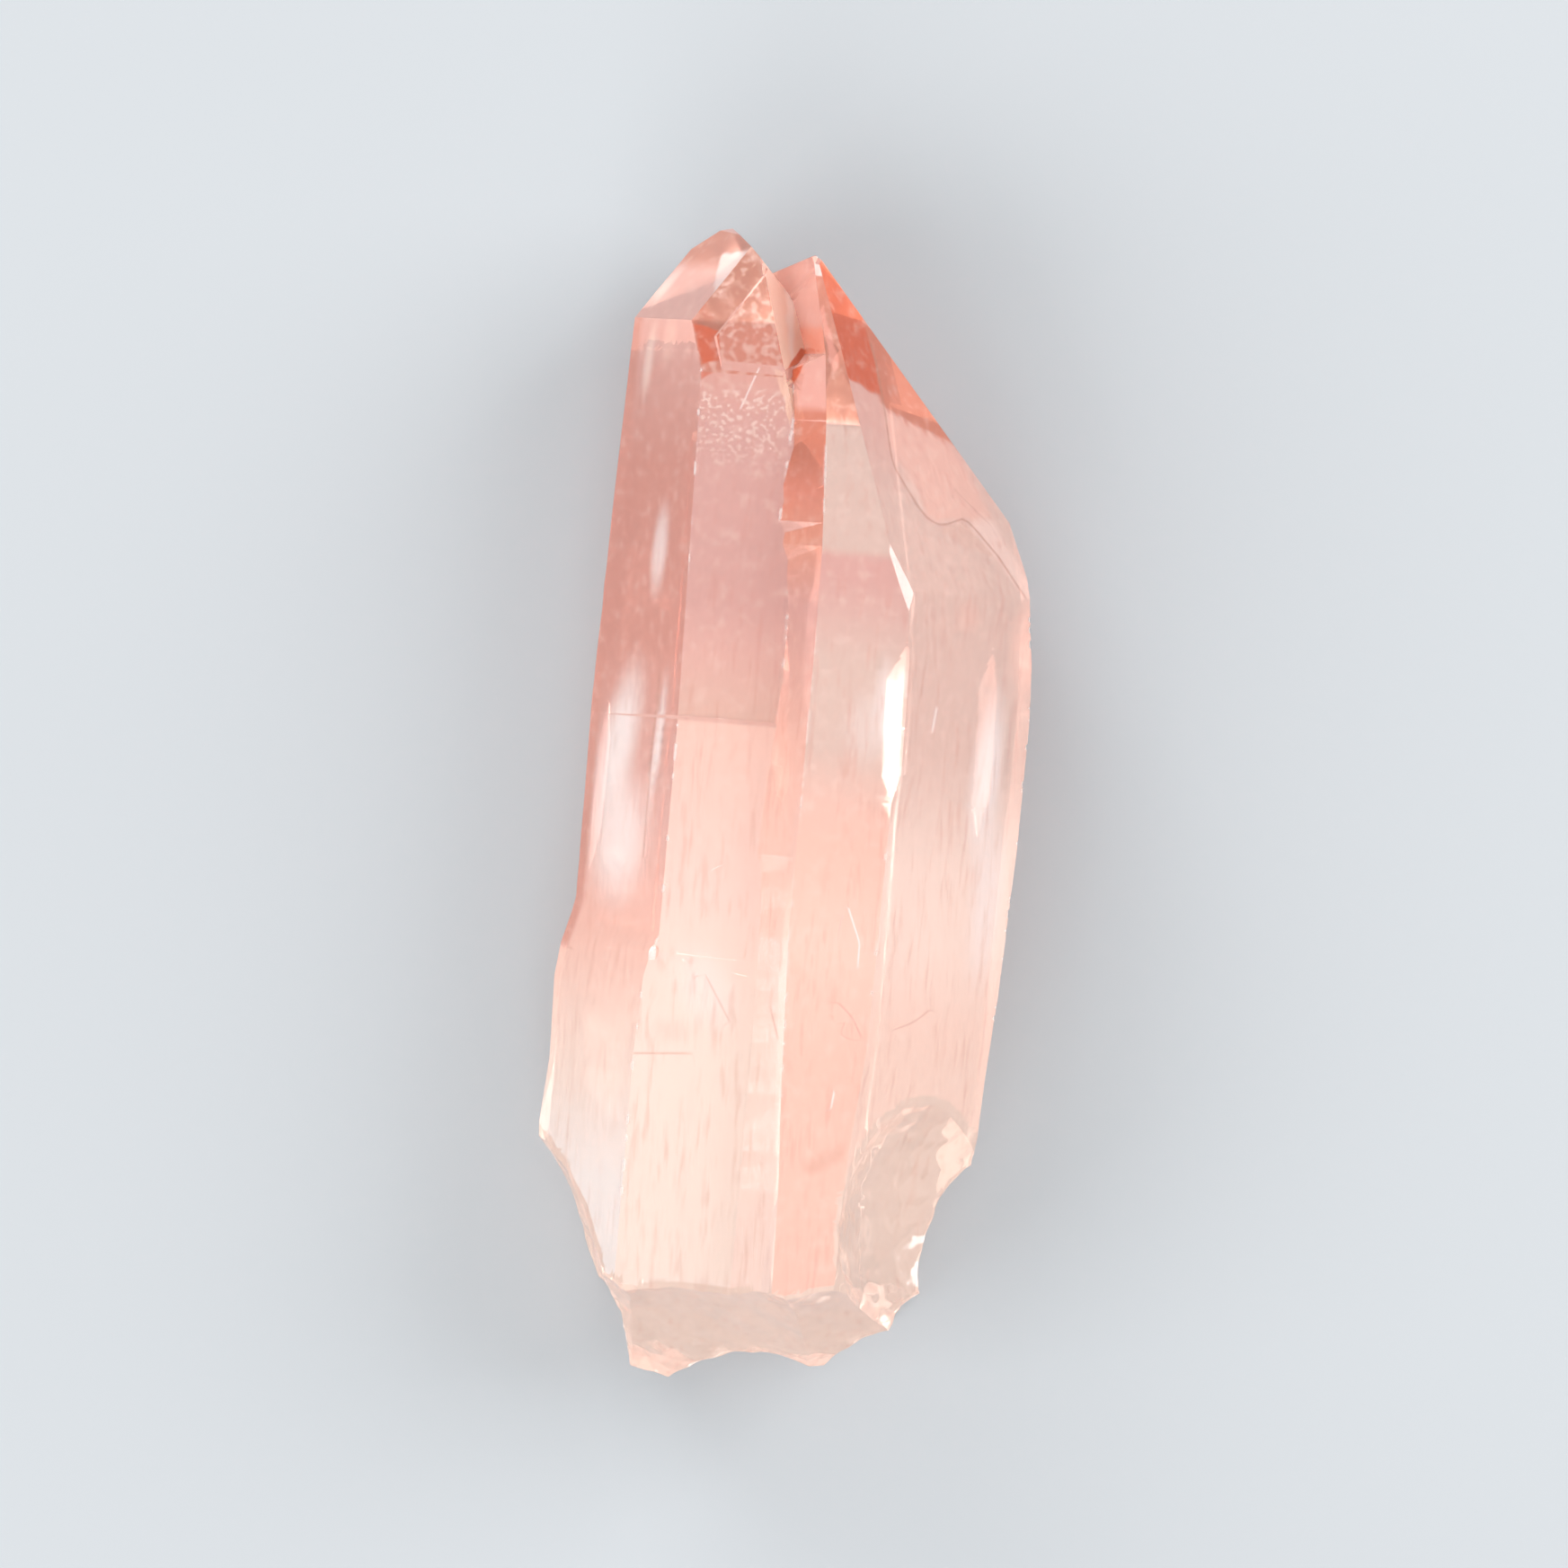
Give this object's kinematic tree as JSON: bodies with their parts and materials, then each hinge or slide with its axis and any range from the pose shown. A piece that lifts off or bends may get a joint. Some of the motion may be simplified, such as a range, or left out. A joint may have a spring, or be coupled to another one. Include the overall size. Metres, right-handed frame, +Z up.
{
  "type": "quartz crystal",
  "caption": "Natural clear pink quartz crystal: tips grown side by side with sloping end faces, a groove between them and a broken base, lying on its back face.",
  "frame": {"origin": "middle of the part's box, on the flat back face it lies on", "axes": "+Y along the crystal's own axis towards the tips, +Z up out of the back face, +X to the right as seen from above with the tips pointing away"},
  "size_m": [0.0238, 0.0596, 0.0159],
  "materials": {
    "quartz": "clear pink quartz with satin growth faces and frosted fractures"
  },
  "bodies": {
    "root": {"crystal": "quartz"}
  },
  "joints": []
}
